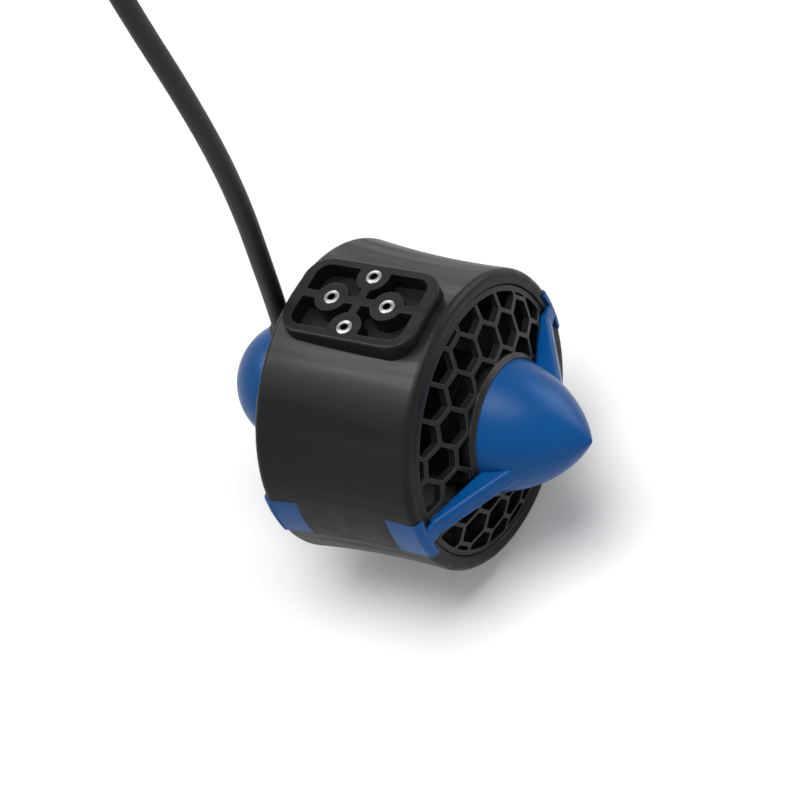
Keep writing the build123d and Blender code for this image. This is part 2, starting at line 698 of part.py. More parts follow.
def bearing(start):
    """Ball bearing as its outer ring with shields, and its inner ring."""
    outer = ring(start, start + BEARING_WIDTH, BEARING_R, RACE_R + BEARING_SLOT / 2)
    inner = ring(start, start + BEARING_WIDTH, RACE_R - BEARING_SLOT / 2, SHAFT_R + RUNNING)
    groove_x = start + BEARING_WIDTH / 2
    balls = []
    for y, z in circle_places(RACE_R, BALL_COUNT):
        balls.append(Pos(groove_x, y, z) * Sphere(BALL_R))
    track = Pos(groove_x, 0, 0) * Rot(0, 90, 0) * Torus(RACE_R, BALL_R + FIT)
    return separate([outer - track, inner - track] + balls)


def front_bearing():
    """Bearing in the carrier's flange end."""
    return bearing(FRONT_BEARING_X)


def rear_bearing():
    """Bearing in the carrier's tail end."""
    return bearing(REAR_BEARING_X)


def tail_bush():
    """Plain bush for the shaft's tail."""
    return ring(BUSH_START, BUSH_START + BUSH_LENGTH - FIT, SHAFT_R + RUNNING + BUSH_WALL, SHAFT_R + RUNNING)


def thrust_washer():
    """Washer between the shaft's collar and the bush."""
    return ring(HUB_START, HUB_START + WASHER_THICKNESS - FIT, WASHER_R, SHAFT_R + RUNNING)


def motor_shaft():
    """Stainless shaft with chamfered ends, from the nose to the tail bush."""
    shaft = disc(-HUB_START, BUSH_START + BUSH_LENGTH - SHAFT_END_ROOM, SHAFT_R)
    return chamfer(shaft.edges().filter_by(GeomType.CIRCLE), SHAFT_CHAMFER)


def rotor_can():
    """Flux ring with its end wall, fixed on the shaft."""
    body = disc(CAN_START, CAN_END + CAN_END_THICKNESS, CAN_R) - disc(CAN_START - 1, CAN_END, CAN_R_IN)
    body = body - disc(CAN_START, SLEEVE_END, SHAFT_R + FIT)
    for y, z in circle_places(PROPELLER_SCREW_CIRCLE / 2, PROPELLER_SCREW_COUNT):
        body = body - rod_at(CAN_END - 1, SLEEVE_END, PROPELLER_SCREW_R + FIT, y, z)
    return body


def rotor_magnets():
    """Arc magnets inside the flux ring."""
    outer = CAN_R_IN - FIT
    width = 2 * pi * MAGNET_R_IN / MAGNET_COUNT - MAGNET_GAP
    block = Box(STATOR_LENGTH, outer + 1, width, align=(Align.MIN, Align.MIN, Align.CENTER))
    magnet = (Pos(STATOR_START, 0, 0) * block) & ring(STATOR_START - 1, STATOR_END + 1, outer, MAGNET_R_IN)
    return separate(around(magnet, MAGNET_COUNT))


def rotor_front_ring():
    """Ring that closes the flux ring's open end over the magnets."""
    return ring(CAN_START - ROTOR_RING_THICKNESS, CAN_START, CAN_R, MAGNET_R_IN)


def blade():
    """One twisted blade, lofted through sections from inside the hub to past the tip."""
    sections = []
    for share in BLADE_STATIONS:
        radius = HUB_SLEEVE_R + share * (PROPELLER_R - HUB_SLEEVE_R)
        flat = radius - BLADE_ROOT_SINK * (1 - share) + share
        pitch_angle = atan(BLADE_PITCH / (2 * pi * radius))
        chord = BLADE_ROOT_CHORD + (BLADE_TIP_CHORD - BLADE_ROOT_CHORD) * share + BLADE_BELLY * share * (1 - share)
        thick = BLADE_ROOT_THICKNESS + (BLADE_TIP_THICKNESS - BLADE_ROOT_THICKNESS) * share
        along = Vector(sin(pitch_angle), cos(pitch_angle), 0)
        origin = Vector(0, 0, flat) - along * (BLADE_SWEEP * share * share)
        plane = Plane(origin=origin, x_dir=along, z_dir=(0, 0, 1))
        crown = thick * BLADE_BACK_SHARE
        back = ThreePointArc((-chord / 2, 0), (0, crown), (chord / 2, 0))
        face = ThreePointArc((chord / 2, 0), (0, crown - thick), (-chord / 2, 0))
        sections.append(plane * make_face([back, face]))
    return loft([s.face() for s in sections])


def propeller():
    """Hub sleeve with an end wall and four twisted blades, moulded in one."""
    wall_start = CAN_END + CAN_END_THICKNESS + FIT
    sleeve = disc(SLEEVE_START, SLEEVE_END, HUB_SLEEVE_R) - disc(SLEEVE_START - 1, wall_start, CAN_R + FIT)
    blades = around(blade(), BLADE_COUNT)
    swept = joined(blades) & disc(-HALF, HALF, PROPELLER_R)
    swept = swept - disc(-HALF, HALF, (CAN_R + HUB_SLEEVE_R) / 2)
    body = sleeve + swept
    body = body - disc(wall_start - 1, SLEEVE_END + 1, SHAFT_R + FIT)
    body = body - disc(SLEEVE_END - COLLAR_THICKNESS - FIT, SLEEVE_END + 1, COLLAR_R + FIT)
    head_seat = SLEEVE_END - PROPELLER_SCREW_HEAD - HOLE_ROOM
    for y, z in circle_places(PROPELLER_SCREW_CIRCLE / 2, PROPELLER_SCREW_COUNT):
        body = body - rod_at(wall_start - 1, SLEEVE_END + 1, PROPELLER_SCREW_R + HOLE_ROOM, y, z)
        body = body - rod_at(head_seat, SLEEVE_END + 1, PROPELLER_SCREW_HEAD_R + HOLE_ROOM, y, z)
    return body


def propeller_screws():
    """Screws from the propeller's end wall into the can."""
    screws = []
    head_seat = SLEEVE_END - PROPELLER_SCREW_HEAD - HOLE_ROOM
    for y, z in circle_places(PROPELLER_SCREW_CIRCLE / 2, PROPELLER_SCREW_COUNT):
        shank = rod_at(CAN_END + HOLE_ROOM, head_seat, PROPELLER_SCREW_R, y, z)
        screws.append(shank + rod_at(head_seat, head_seat + PROPELLER_SCREW_HEAD, PROPELLER_SCREW_HEAD_R, y, z))
    return separate(screws)


def shaft_collar():
    """Retaining collar on the shaft, sunk in the propeller's end wall."""
    return ring(SLEEVE_END - COLLAR_THICKNESS, SLEEVE_END, COLLAR_R, SHAFT_R + FIT)


def phase_wires():
    """Three leads from the windings, through the flange, into the resin."""
    start = CHAMBER_END - PHASE_WIRE_SINK
    end = STATOR_START - WINDING_END - FIT
    places = circle_places(PHASE_WIRE_CIRCLE / 2, 3)
    return separate([rod_at(start, end, PHASE_WIRE_R, y, z) for y, z in places])


def potting_plug():
    """Resin that fills the nose round the cable's end and the leads."""
    body = chamber(FIT) - cable_rod(0, SEALED_LENGTH + FIT, CABLE_R + FIT)
    for y, z in circle_places(PHASE_WIRE_CIRCLE / 2, 3):
        body = body - rod_at(CHAMBER_END - PHASE_WIRE_SINK - FIT, 0, PHASE_WIRE_R + FIT, y, z)
    return body


def cable_sealed_end():
    """Stretch of the cable inside the gland and the resin."""
    return cable_rod(0, SEALED_LENGTH, CABLE_R)


def cable_gland():
    """Tapered boot where the cable leaves the nose."""
    height = GLAND_HEIGHT + GLAND_SKIRT
    boot = Cone(GLAND_BASE_R, GLAND_TOP_R, height, align=(Align.CENTER, Align.CENTER, Align.MAX))
    boot = at_exit(boot) - disc(CABLE_EXIT_X - HUB_R, CABLE_EXIT_X + HUB_R, HUB_R + FIT)
    return boot - cable_rod(1, SEALED_LENGTH, CABLE_R + FIT)


def bend_radii(points):
    """Radius for each corner of a route: a share of its shorter run over the tangent of half the turn."""
    radii = []
    for before, corner, after in zip(points, points[1:], points[2:]):
        first = Vector(*corner) - Vector(*before)
        second = Vector(*after) - Vector(*corner)
        shorter = min(first.length, second.length)
        radii.append(BEND_SHARE * shorter / tan(radians(first.get_angle(second)) / 2))
    return radii


def cable():
    """Lead from the gland to the coil, with the short tail from the coil to the plug."""
    radii = bend_radii(CABLE_ROUTE)
    print("cable bend radii", [round(r, 1) for r in radii])
    path = FilletPolyline(*CABLE_ROUTE, radius=radii)
    start = Plane(origin=path @ 0, z_dir=path % 0)
    tube = sweep(start * Circle(CABLE_R), path=path)
    print("cable volume over section times length", round(tube.volume / (pi * CABLE_R**2 * path.length), 4))
    tail = Cylinder(CABLE_R, PLUG_TAIL, align=(Align.CENTER, Align.CENTER, Align.MIN))
    tail = Pos(COIL_X, TAIL_Y, TAIL_Z) * Rot(0, -90, 0) * tail
    return separate([tube, tail])


def turn_places():
    """Distance across the coil of each whole turn, where it passes under the tie."""
    return [COIL_PITCH * (turn + 0.5) for turn in range(int(COIL_TURNS))]


def cable_coil():
    """Tied coil of the cable's unseen length, with its turns as rings that touch."""
    places = turn_places()
    turns = [Pos(COIL_R, y) * Circle(COIL_PITCH / 2 + FIT) for y in places]
    core = Rectangle(CABLE_R, places[-1] - places[0], align=(Align.CENTER, Align.MIN))
    section = (Sketch() + turns) + Pos(COIL_R, places[0]) * core
    return Pos(COIL_X, 0, COIL_Z) * revolve(section, Axis.Y)


def coil_tie():
    """Band round the coil's turns."""
    places = turn_places()
    depth = 2 * CABLE_R + 2 * LOOSE
    width = places[-1] - places[0] + depth
    band = Box(depth + 2 * TIE_THICKNESS, width + 2 * TIE_THICKNESS, TIE_WIDTH)
    band = fillet(band.edges().filter_by(Axis.Z), TIE_THICKNESS)
    band = band - Box(depth, width, 2 * TIE_WIDTH)
    return Pos(COIL_X - COIL_R, (places[0] + places[-1]) / 2, COIL_Z) * band


def cable_plug():
    """Round connector on the lead's far end, with a grip and contact holes."""
    grip = Cylinder(PLUG_R, PLUG_LENGTH * PLUG_GRIP_SHARE, align=(Align.CENTER, Align.CENTER, Align.MIN))
    grip = chamfer(grip.edges().filter_by(GeomType.CIRCLE), PLUG_EDGE)
    body = grip + Cylinder(PLUG_R - PLUG_STEP, PLUG_LENGTH, align=(Align.CENTER, Align.CENTER, Align.MIN))
    hole = Cylinder(CONTACT_R, 2 * CONTACT_DEPTH)
    for x, y in circle_places(PLUG_R / 2, CONTACT_COUNT):
        body = body - Pos(x, y, PLUG_LENGTH) * hole
    return Pos(COIL_X - PLUG_TAIL, TAIL_Y, TAIL_Z) * Rot(0, -90, 0) * body


IN_DUCT_FRAME = [
    duct_shell,
    threaded_inserts,
    rear_grille,
    front_grille,
    tail_bracket,
    nose_bracket,
    side_covers,
    bracket_screws,
    stator_carrier,
    carrier_screws,
    carrier_seal,
    stator_core,
    stator_windings,
    front_bearing,
    rear_bearing,
    tail_bush,
    thrust_washer,
    motor_shaft,
    rotor_can,
    rotor_magnets,
    rotor_front_ring,
    propeller,
    propeller_screws,
    shaft_collar,
    phase_wires,
    potting_plug,
    cable_sealed_end,
    cable_gland,
]
IN_PART_FRAME = [cable, cable_coil, coil_tie, cable_plug]

os.makedirs("parts", exist_ok=True)
for piece in IN_DUCT_FRAME:
    export_step(place(piece()), f"parts/{piece.__name__}.step")
for piece in IN_PART_FRAME:
    export_step(piece(), f"parts/{piece.__name__}.step")
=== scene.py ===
"""Looks of the underwater thruster: camera, lead, moulded plastics, metals, pale floor and soft studio light.

Everything is in metres, in the part's frame: the origin is the middle of the mounting pad's face,
+Z points out of the pad and +X runs along the shaft towards the pointed tail.
"""

import json
from math import cos, pi, radians, sin, tan

import bpy
from mathutils import Matrix, Vector

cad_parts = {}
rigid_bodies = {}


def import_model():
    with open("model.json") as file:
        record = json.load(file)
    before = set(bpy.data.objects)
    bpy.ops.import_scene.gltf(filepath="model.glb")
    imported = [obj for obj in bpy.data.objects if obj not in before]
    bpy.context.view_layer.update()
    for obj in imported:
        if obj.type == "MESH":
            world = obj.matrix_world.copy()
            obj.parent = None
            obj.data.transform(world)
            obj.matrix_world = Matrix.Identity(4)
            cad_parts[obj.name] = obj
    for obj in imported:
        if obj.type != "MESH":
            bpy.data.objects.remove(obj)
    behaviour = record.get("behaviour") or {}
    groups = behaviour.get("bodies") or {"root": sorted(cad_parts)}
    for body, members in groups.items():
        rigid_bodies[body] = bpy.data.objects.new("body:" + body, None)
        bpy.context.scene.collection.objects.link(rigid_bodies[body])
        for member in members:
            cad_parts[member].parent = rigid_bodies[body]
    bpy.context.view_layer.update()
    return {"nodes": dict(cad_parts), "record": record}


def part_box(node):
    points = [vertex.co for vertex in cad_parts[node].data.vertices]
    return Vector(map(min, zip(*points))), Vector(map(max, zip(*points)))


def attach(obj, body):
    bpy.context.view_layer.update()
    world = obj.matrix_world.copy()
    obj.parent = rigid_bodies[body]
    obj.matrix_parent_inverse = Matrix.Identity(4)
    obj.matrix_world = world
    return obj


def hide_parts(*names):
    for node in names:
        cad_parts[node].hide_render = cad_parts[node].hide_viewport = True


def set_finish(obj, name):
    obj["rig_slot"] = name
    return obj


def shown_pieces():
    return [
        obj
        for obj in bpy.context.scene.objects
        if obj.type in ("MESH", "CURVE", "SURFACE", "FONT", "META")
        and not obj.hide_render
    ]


MM = 0.001

# Camera, at the photograph's viewing angle
CAMERA_EYE = Vector((0.35778, -0.31885, 0.45711))
CAMERA_RIGHT = Vector((0.8385, 0.4388, -0.3231))
CAMERA_BACK = Vector((0.5175, -0.4555, 0.7244))
CAMERA_LENS = 99.0
CAMERA_SENSOR = 36.0
CAMERA_NEAR = 0.01
CAMERA_FAR = 50.0

# Lead: the route's points above the gland, then the coil, as in the part's source
CABLE_R = 3.25 * MM
LEAD_POINTS = [
    (-37.600, 0.0, -21.500),
    (-34.689, 0.0, -7.806),
    (-30.900, 0.0, 12.900),
    (-26.700, 0.0, 36.120),
    (-24.600, 0.0, 60.200),
    (-25.200, 0.0, 86.000),
    (-27.600, 0.0, 113.520),
    (-28.400, 0.0, 142.760),
]
LEAD_ROUND_STEPS = 7
LEAD_RUN_STEPS = 12
COIL_X = -64.5
COIL_Z = 172.0
COIL_R = 36.0
COIL_PITCH = 6.6
COIL_TURNS = 3.25
COIL_POINTS_PER_TURN = 16
PLUG_TAIL = 26.0

# Studio room: heights are the sine of the elevation, and a level of 1 is white
HORIZON = 0.05
OVERHEAD = 0.85
HORIZON_LIGHT = 0.12
OVERHEAD_LIGHT = 0.4

# Floor: half its side, the light added where it is seen, and where it fades into the background
FLOOR_HALF = 1.5
FLOOR_LIFT = 0.15
FADE_START = 0.28
FADE_END = 0.60
FLOOR_LOW = (0.93, 0.93, 0.93)
FLOOR_HIGH = (0.95, 0.95, 0.95)
FLOOR_ROUGH = 0.9
FLOOR_LEVEL = 0.1

# Lamps: direction from the duct, half angle in degrees, brightness next to white, for reflections only
LAMP_DISTANCE = 1.6
LAMPS = {
    "overhead": ((0.09, -0.04, 1.00), 17, 7.2, False),
    "back_sheen": ((0.50, 0.80, 0.32), 18, 4.2, True),
    "side_sheen": ((-0.52, -0.12, 0.85), 14, 14.5, True),
    "rim_sheen": ((-0.52, 0.80, 0.34), 12, 3.5, True),
}

# Colours, as linear RGB
BLACK = (0.0105, 0.0108, 0.0115)
BLUE = (0.0005, 0.073, 0.262)
# Painted shade in the inserts' bores and along their edge at the boss
PAINTED_SHADE_METAL = (0.13, 0.13, 0.13)
WHITE = (1, 1, 1, 1)

# Marks in the materials, as the size of their blobs in millimetres
FLOOR_MOTTLE = 40
FLOW_MARKS = 16
GLOSS_CLOUDS = 5
MOULD_GRAIN = 0.28
METAL_TONES = 3
TOOL_MARKS = 0.35
RUBBER_BLOOM = 2.2
RUBBER_GRAIN = 0.22

# Depths of the marks and radius of the metals' edges, in millimetres
TOOL_MARK_DEPTH = 0.004
RUBBER_GRAIN_DEPTH = 0.012
THREAD_DEPTH = 0.03
METAL_EDGE = 0.15

# Darkest and lightest share of a colour, and how far the roughness swings to both sides
METAL_SHADES = (0.88, 1.05)
METAL_SWING = (0.06, 0.10)
RUBBER_SHADES = (0.80, 1.30)
RUBBER_SWING = (0.05, 0.08)
RUBBER_LEVEL = 0.3

# The same swing in plastic, as shares of how uneven its colour is
PLASTIC_SWING = (0.6, 0.9)

# Radius of the shading of a moulded edge, as a share of the width of its painted highlight
EDGE_SHARE = 0.8

# Stretch of the marks: a share below 1 draws them out along that axis
PLAIN = (1, 1, 1)
DRAWN = (0.06, 1, 1)
TURNED = (1, 0.15, 0.15)
ALONG = (0.1, 1, 1)
PLATED = (1, 1, 3)

# Noise lies mostly between these values
NOISE_LOW = 0.3
NOISE_HIGH = 0.7

# An edge shows where the rounded and the plain normal part: cosines at the full painted highlight and at none
EDGE_FULL_HIGHLIGHT = 0.75
EDGE_PLAIN = 0.98
BEVEL_SAMPLES = 6

# The colour mix's sockets share their names with others, so they go by number
MIX_COLOURS = (6, 7)
MIX_RESULT = 2

# Places on the part, in millimetres
DUCT_X = 1.2
SHAFT_Z = -51.5
# Reach of the painted shade on the blue hub inside the duct
SEAT_END = 33.4
SEAT_R = 21.6
INSERT_CIRCLE = 10.0
INSERT_R = 2.7
THREAD_R = 1.5
THREAD_PITCH = 0.5
BORE_EDGE = 0.4
RIM_START = 0.35
RIM_END = 0.1


def remove_defaults():
    """Starts from an empty scene."""
    for thing in list(bpy.data.objects):
        bpy.data.objects.remove(thing)


def link(thing):
    """Puts a new object in the scene."""
    bpy.context.scene.collection.objects.link(thing)
    return thing


def make_camera():
    """Camera at the photograph's place, turned by its own right and back directions."""
    data = bpy.data.cameras.new("camera")
    data.lens = CAMERA_LENS
    data.sensor_width = CAMERA_SENSOR
    data.clip_start = CAMERA_NEAR
    data.clip_end = CAMERA_FAR
    camera = link(bpy.data.objects.new("camera", data))
    back = CAMERA_BACK.normalized()
    right = (CAMERA_RIGHT - back * CAMERA_RIGHT.dot(back)).normalized()
    up = back.cross(right)
    turn = Matrix((right, up, back)).transposed().to_4x4()
    camera.matrix_world = Matrix.Translation(CAMERA_EYE) @ turn
    bpy.context.scene.camera = camera


def lead_route():
    """Control points of the lead, from the gland through the coil to the plug, in millimetres."""
    points = list(LEAD_POINTS)
    reach = COIL_R / cos(pi / COIL_POINTS_PER_TURN)
    for i in range(round(COIL_TURNS * COIL_POINTS_PER_TURN)):
        turns = (i + 0.5) / COIL_POINTS_PER_TURN
        angle = 2 * pi * turns
        points.append((COIL_X + reach * cos(angle), COIL_PITCH * turns, COIL_Z + reach * sin(angle)))
    points.append((COIL_X - PLUG_TAIL, COIL_PITCH * COIL_TURNS, COIL_Z + COIL_R))
    return points


def make_lead():
    """The lead as one smooth curve, with its coil's turns as points of the same spline."""
    data = bpy.data.curves.new("lead", "CURVE")
    data.dimensions = "3D"
    data.bevel_depth = 1.0
    data.bevel_resolution = LEAD_ROUND_STEPS
    data.resolution_u = LEAD_RUN_STEPS
    data.use_fill_caps = True
    spline = data.splines.new("NURBS")
    route = lead_route()
    spline.points.add(len(route) - 1)
    for point, place in zip(spline.points, route):
        point.co = (*(c * MM for c in place), 1.0)
        point.radius = CABLE_R
    spline.order_u = 3
    spline.use_endpoint_u = True
    lead = link(bpy.data.objects.new("lead", data))
    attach(lead, "root")
    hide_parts("cable", "cable_coil")
    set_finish(lead, "cable_jacket")


def fill(tree, socket, value):
    """Sets a socket to a value, or links another socket to it."""
    if isinstance(value, bpy.types.NodeSocket):
        tree.links.new(value, socket)
    else:
        socket.default_value = value


class Nodes:
    """A material's node tree, with short calls for what the finishes here share."""

    def __init__(self, name):
        """Takes up the material of that name, or makes it."""
        self.material = bpy.data.materials.get(name) or bpy.data.materials.new(name)
        self.material.use_nodes = True
        self.tree = self.material.node_tree
        self.shader = self.tree.nodes["Principled BSDF"]
        self.place = self.add("ShaderNodeTexCoord").outputs["Object"]

    def add(self, kind, **inputs):
        """New node with its inputs set to numbers or linked to sockets."""
        node = self.tree.nodes.new(kind)
        for name, value in inputs.items():
            self.set(node, name.replace("_", " "), value)
        return node

    def set(self, node, name, value):
        """Sets one input, or links a socket to it."""
        fill(self.tree, node.inputs[name], value)

    def noise(self, size, stretch=PLAIN, detail=3.0):
        """Noise whose blobs are about that size in millimetres."""
        spread = self.add("ShaderNodeMapping", Vector=self.place, Scale=stretch)
        vector = spread.outputs["Vector"]
        texture = self.add("ShaderNodeTexNoise", Vector=vector, Scale=1 / (size * MM), Detail=detail)
        return texture.outputs["Fac"]

    def ramp(self, noise, low, high):
        """Colour from low to high over a noise."""
        node = self.add("ShaderNodeValToRGB", Fac=noise)
        first, last = node.color_ramp.elements
        first.position, last.position = NOISE_LOW, NOISE_HIGH
        first.color, last.color = (*low, 1), (*high, 1)
        return node.outputs["Color"]

    def span(self, factor, low, high, start=NOISE_LOW, end=NOISE_HIGH):
        """Number from low to high as the factor goes from start to end."""
        node = self.add("ShaderNodeMapRange", Value=factor)
        self.set(node, "From Min", start)
        self.set(node, "From Max", end)
        self.set(node, "To Min", low)
        self.set(node, "To Max", high)
        return node.outputs["Result"]

    def maths(self, operation, first, second=0.0):
        """One sum of one or two sockets or numbers."""
        node = self.tree.nodes.new("ShaderNodeMath")
        node.operation = operation
        for socket, value in zip(node.inputs, (first, second)):
            fill(self.tree, socket, value)
        return node.outputs[0]

    def mixed(self, factor, low, high):
        """Colour between two sockets or colours."""
        node = self.tree.nodes.new("ShaderNodeMix")
        node.data_type = "RGBA"
        self.set(node, "Factor", factor)
        for index, value in zip(MIX_COLOURS, (low, high)):
            fill(self.tree, node.inputs[index], (*value, 1) if isinstance(value, tuple) else value)
        return node.outputs[MIX_RESULT]

    def reach(self, vector):
        """Length of a vector."""
        node = self.tree.nodes.new("ShaderNodeVectorMath")
        node.operation = "LENGTH"
        self.tree.links.new(vector, node.inputs[0])
        return node.outputs["Value"]

    def distance(self, first, second):
        """Length of two sides at a right angle."""
        squares = [self.maths("MULTIPLY", side, side) for side in (first, second)]
        return self.maths("SQRT", self.maths("ADD", *squares))

    def axes(self):
        """The place's X, Y and Z."""
        return self.add("ShaderNodeSeparateXYZ", Vector=self.place).outputs

    def bump(self, height, depth, normal=None):
        """Normals of a bump of that depth in millimetres."""
        node = self.add("ShaderNodeBump", Height=height, Distance=depth * MM, Strength=1.0)
        if normal is not None:
            self.set(node, "Normal", normal)
        return node.outputs["Normal"]

    def rounded(self, radius):
        """Normals rounded over the edges by a radius in millimetres."""
        node = self.add("ShaderNodeBevel", Radius=radius * MM)
        node.samples = BEVEL_SAMPLES
        return node.outputs["Normal"]

    def edges(self, radius):
        """1 on the edges, within a radius in millimetres, and 0 on plain faces."""
        plain = self.add("ShaderNodeNewGeometry").outputs["True Normal"]
        product = self.tree.nodes.new("ShaderNodeVectorMath")
        product.operation = "DOT_PRODUCT"
        self.tree.links.new(self.rounded(radius), product.inputs[0])
        self.tree.links.new(plain, product.inputs[1])
        return self.span(product.outputs["Value"], 1.0, 0.0, EDGE_FULL_HIGHLIGHT, EDGE_PLAIN)

    def recolour(self, factor, low=None, high=None):
        """Mixes a colour into the base colour, over it where the factor is 0 or where it is 1."""
        base = self.shader.inputs["Base Color"].links[0].from_socket
        self.look("Base Color", self.mixed(factor, low or base, high or base))

    def look(self, name, value):
        """Sets one input of the shader, or links a socket to it."""
        self.set(self.shader, name, value)


def scaled(colour, share):
    """A colour made lighter or darker."""
    return tuple(c * share for c in colour)


def moulded(name, colour, rough, grain, edge_highlight=2.2, edge=0.35, level=0.5, flow=PLAIN, uneven=0.08):
    """Moulded plastic: fine grain, faint flow marks, uneven gloss and painted highlights on the edges."""
    nodes = Nodes(name)
    marks = nodes.noise(FLOW_MARKS, flow)
    base = nodes.ramp(marks, scaled(colour, 1 - uneven), scaled(colour, 1 + uneven))
    cloud = nodes.noise(GLOSS_CLOUDS, flow, detail=4.0)
    smoother, rougher = (share * uneven for share in PLASTIC_SWING)
    # Painted highlight: the edges are coloured lighter, by edge_highlight times the colour
    nodes.look("Base Color", nodes.mixed(nodes.edges(edge), base, scaled(colour, edge_highlight)))
    nodes.look("Roughness", nodes.span(cloud, rough - smoother, rough + rougher))
    nodes.look("Specular IOR Level", level)
    nodes.look("Normal", nodes.bump(nodes.noise(MOULD_GRAIN), grain, nodes.rounded(EDGE_SHARE * edge)))
    return nodes


def paint_seat_shade(nodes):
    """Paints shade on the blue moulding's hub: black where it lies behind the guards, inside the duct."""
    x, y, z = nodes.axes()
    along = nodes.maths("ABSOLUTE", nodes.maths("SUBTRACT", x, DUCT_X * MM))
    up = nodes.maths("SUBTRACT", z, SHAFT_Z * MM)
    near = nodes.maths("LESS_THAN", nodes.distance(y, up), SEAT_R * MM)
    inside = nodes.maths("MULTIPLY", nodes.maths("LESS_THAN", along, SEAT_END * MM), near)
    # Painted shade: the hub's seat behind the guards is coloured black
    nodes.recolour(inside, high=BLACK)


def thread_bores(nodes):
    """Gives each plated insert a thread bump, with painted shade in its bore and along the line where it
    meets the boss.
    """
    x, y, _ = nodes.axes()
    flat = [nodes.maths("ABSOLUTE", axis) for axis in (x, y)]
    out_x = nodes.maths("SUBTRACT", nodes.maths("MAXIMUM", *flat), INSERT_CIRCLE * MM)
    out = nodes.distance(out_x, nodes.maths("MINIMUM", *flat))
    bore = nodes.span(out, 0.0, 1.0, THREAD_R * MM, (THREAD_R + BORE_EDGE) * MM)
    rim = nodes.span(out, 1.0, 0.0, (INSERT_R - RIM_START) * MM, (INSERT_R - RIM_END) * MM)
    # Painted shade: the bore and the line at the boss are coloured a dim metal
    nodes.recolour(nodes.maths("MULTIPLY", bore, rim), low=PAINTED_SHADE_METAL)
    turns = nodes.maths("SINE", nodes.maths("MULTIPLY", out, 2 * pi / (THREAD_PITCH * MM)))
    nodes.look("Normal", nodes.bump(turns, THREAD_DEPTH, nodes.rounded(METAL_EDGE)))


def metal(name, colour, rough, stretch):
    """Bare or plated metal with fine tool marks along one direction."""
    nodes = Nodes(name)
    marks = nodes.noise(TOOL_MARKS, stretch)
    tone = nodes.noise(METAL_TONES, detail=2.0)
    smoother, rougher = METAL_SWING
    nodes.look("Base Color", nodes.ramp(tone, *(scaled(colour, share) for share in METAL_SHADES)))
    nodes.look("Metallic", 1.0)
    nodes.look("Roughness", nodes.span(marks, rough - smoother, rough + rougher))
    nodes.look("Normal", nodes.bump(marks, TOOL_MARK_DEPTH, nodes.rounded(METAL_EDGE)))
    return nodes


def jacket(name, colour, rough):
    """Cable jacket, rubber or resin, with a fine bloom and a faint grain."""
    nodes = Nodes(name)
    bloom = nodes.noise(RUBBER_BLOOM, detail=5.0)
    smoother, rougher = RUBBER_SWING
    nodes.look("Base Color", nodes.ramp(bloom, *(scaled(colour, share) for share in RUBBER_SHADES)))
    nodes.look("Roughness", nodes.span(bloom, rough - smoother, rough + rougher))
    nodes.look("Specular IOR Level", RUBBER_LEVEL)
    nodes.look("Normal", nodes.bump(nodes.noise(RUBBER_GRAIN), RUBBER_GRAIN_DEPTH))
    return nodes


def finishes():
    """One material for each slot of the record."""
    # Every moulded finish gets painted highlights on its edges, and the guard's are the strongest
    made = {
        "black_plastic": moulded("black_plastic", BLACK, 0.37, 0.012, level=0.12, flow=DRAWN, uneven=0.17),
        "guard_plastic": moulded("guard_plastic", BLACK, 0.40, 0.010, edge_highlight=14.0, edge=0.3, level=0.18),
        "cover_plastic": moulded("cover_plastic", BLACK, 0.55, 0.022, edge=0.2, level=0.2),
        "blue_plastic": moulded("blue_plastic", BLUE, 0.33, 0.008, edge_highlight=1.25, level=0.15),
        "propeller_plastic": moulded("propeller_plastic", BLACK, 0.38, 0.008, level=0.3),
        "plug_plastic": moulded("plug_plastic", BLACK, 0.5, 0.02),
        "nickel": metal("nickel", (0.30, 0.297, 0.29), 0.28, PLATED),
        "steel": metal("steel", (0.56, 0.57, 0.58), 0.25, TURNED),
        "core_steel": metal("core_steel", (0.14, 0.14, 0.15), 0.45, TURNED),
        "aluminium": metal("aluminium", (0.62, 0.63, 0.65), 0.32, TURNED),
        "copper": metal("copper", (0.62, 0.26, 0.11), 0.3, ALONG),
        "bronze": metal("bronze", (0.5, 0.34, 0.16), 0.38, TURNED),
        "magnet": metal("magnet", (0.4, 0.4, 0.41), 0.3, ALONG),
        "rubber": jacket("rubber", (0.012, 0.012, 0.012), 0.6),
        "wire": jacket("wire", (0.15, 0.012, 0.01), 0.45),
        "resin": jacket("resin", (0.02, 0.02, 0.022), 0.3),
        "cable_jacket": jacket("cable_jacket", (0.0085, 0.0085, 0.009), 0.52),
        "tie": moulded("tie", BLACK, 0.45, 0.006),
    }
    # Painted shade: the blue hub inside the duct turns black
    paint_seat_shade(made["blue_plastic"])
    # Painted shade in the inserts' bores and at their edge
    thread_bores(made["nickel"])
    return {slot: nodes.material for slot, nodes in made.items()}


def dress(made):
    """Puts each slot's finish on the CAD nodes and the new pieces that take it."""
    for part in frame["record"]["subparts"]:
        node = frame["nodes"][part["node"]]
        for holder in node.material_slots:
            holder.material = made[part["material_slot"]]
    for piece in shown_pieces():
        if "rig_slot" in piece:
            piece.data.materials.clear()
            piece.data.materials.append(made[piece["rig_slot"]])


def background_rays(tree):
    """1 for the rays that see the background: the camera's, and those in reflections and glass."""
    rays = tree.nodes.new("ShaderNodeLightPath")
    total = rays.outputs["Is Camera Ray"]
    for other in ("Is Glossy Ray", "Is Transmission Ray"):
        largest = tree.nodes.new("ShaderNodeMath")
        largest.operation = "MAXIMUM"
        tree.links.new(total, largest.inputs[0])
        tree.links.new(rays.outputs[other], largest.inputs[1])
        total = largest.outputs[0]
    return total


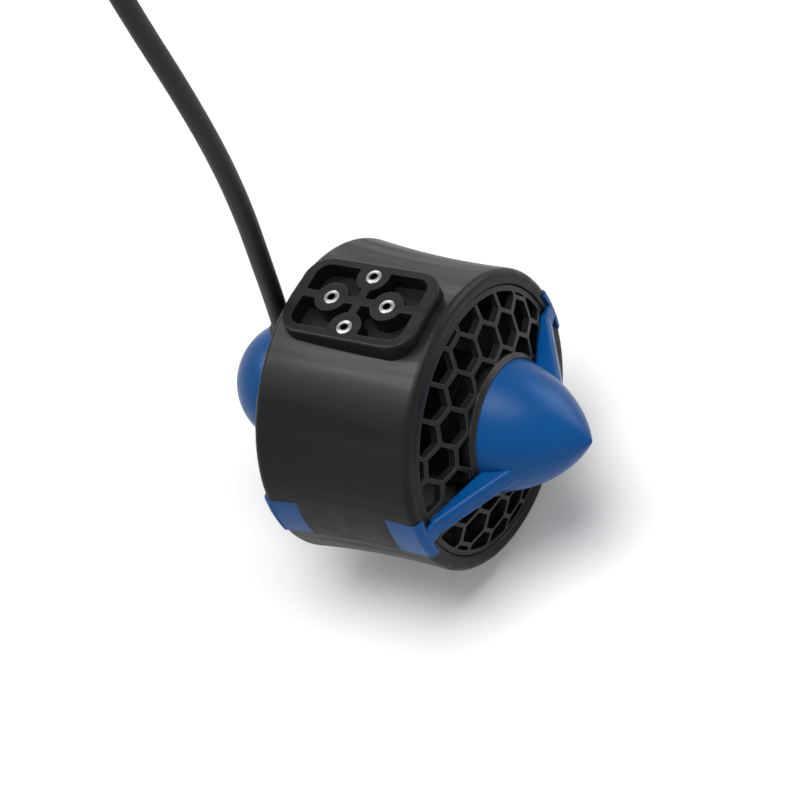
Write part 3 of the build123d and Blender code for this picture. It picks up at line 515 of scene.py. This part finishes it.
def make_floor(low):
    """Plain pale floor that keeps the object's shadow and runs into the white background further out."""
    data = bpy.data.meshes.new("floor")
    corners = [(x * FLOOR_HALF, y * FLOOR_HALF, low) for x, y in ((-1, -1), (1, -1), (1, 1), (-1, 1))]
    data.from_pydata(corners, [], [(0, 1, 2, 3)])
    floor = link(bpy.data.objects.new("floor", data))
    nodes = Nodes("floor")
    mottle = nodes.noise(FLOOR_MOTTLE, detail=2.0)
    nodes.look("Base Color", nodes.ramp(mottle, FLOOR_LOW, FLOOR_HIGH))
    nodes.look("Roughness", FLOOR_ROUGH)
    nodes.look("Specular IOR Level", FLOOR_LEVEL)
    nodes.look("Emission Color", WHITE)
    seen = background_rays(nodes.tree)
    nodes.look("Emission Strength", nodes.span(seen, 0.0, FLOOR_LIFT, 0.0, 1.0))
    far = nodes.span(nodes.reach(nodes.place), 0.0, 1.0, FADE_START, FADE_END)
    share = nodes.maths("MULTIPLY", far, seen)
    white = nodes.add("ShaderNodeEmission", Color=WHITE, Strength=1.0)
    mix = nodes.add("ShaderNodeMixShader", Fac=share)
    nodes.tree.links.new(nodes.shader.outputs[0], mix.inputs[1])
    nodes.tree.links.new(white.outputs[0], mix.inputs[2])
    output = nodes.tree.nodes["Material Output"]
    nodes.tree.links.new(mix.outputs[0], output.inputs["Surface"])
    data.materials.append(nodes.material)


def make_world():
    """Studio room, brighter overhead than at the horizon, that shows as plain white behind the object."""
    world = bpy.data.worlds.new("studio")
    world.use_nodes = True
    bpy.context.scene.world = world
    tree = world.node_tree
    tree.nodes.clear()
    direction = tree.nodes.new("ShaderNodeTexCoord").outputs["Generated"]
    parts = tree.nodes.new("ShaderNodeSeparateXYZ")
    tree.links.new(direction, parts.inputs["Vector"])
    level = tree.nodes.new("ShaderNodeMapRange")
    level.inputs["From Min"].default_value = HORIZON
    level.inputs["From Max"].default_value = OVERHEAD
    level.inputs["To Min"].default_value = HORIZON_LIGHT
    level.inputs["To Max"].default_value = OVERHEAD_LIGHT
    tree.links.new(parts.outputs["Z"], level.inputs["Value"])
    room = tree.nodes.new("ShaderNodeBackground")
    tree.links.new(level.outputs["Result"], room.inputs["Strength"])
    white = tree.nodes.new("ShaderNodeBackground")
    for light in (room, white):
        light.inputs["Color"].default_value = WHITE
    mix = tree.nodes.new("ShaderNodeMixShader")
    tree.links.new(background_rays(tree), mix.inputs[0])
    tree.links.new(room.outputs[0], mix.inputs[1])
    tree.links.new(white.outputs[0], mix.inputs[2])
    output = tree.nodes.new("ShaderNodeOutputWorld")
    tree.links.new(mix.outputs[0], output.inputs["Surface"])


def softbox(name, aim, direction, spread, radiance, sheen_only):
    """Square area lamp aimed at a point."""
    data = bpy.data.lights.new(name, "AREA")
    data.size = 2 * LAMP_DISTANCE * tan(radians(spread))
    data.energy = radiance * pi * data.size**2
    away = Vector(direction).normalized()
    lamp = link(bpy.data.objects.new(name, data))
    lamp.location = aim + LAMP_DISTANCE * away
    lamp.rotation_mode = "QUATERNION"
    lamp.rotation_quaternion = away.to_track_quat("Z", "Y")
    lamp.visible_camera = False
    lamp.visible_diffuse = not sheen_only


remove_defaults()
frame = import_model()
make_camera()
make_lead()
dress(finishes())
duct_low, duct_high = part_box("duct_shell")
make_floor(duct_low.z)
make_world()
for lamp_name, lamp_facts in LAMPS.items():
    softbox(lamp_name, (duct_low + duct_high) / 2, *lamp_facts)
bpy.context.scene.view_settings.view_transform = "Standard"
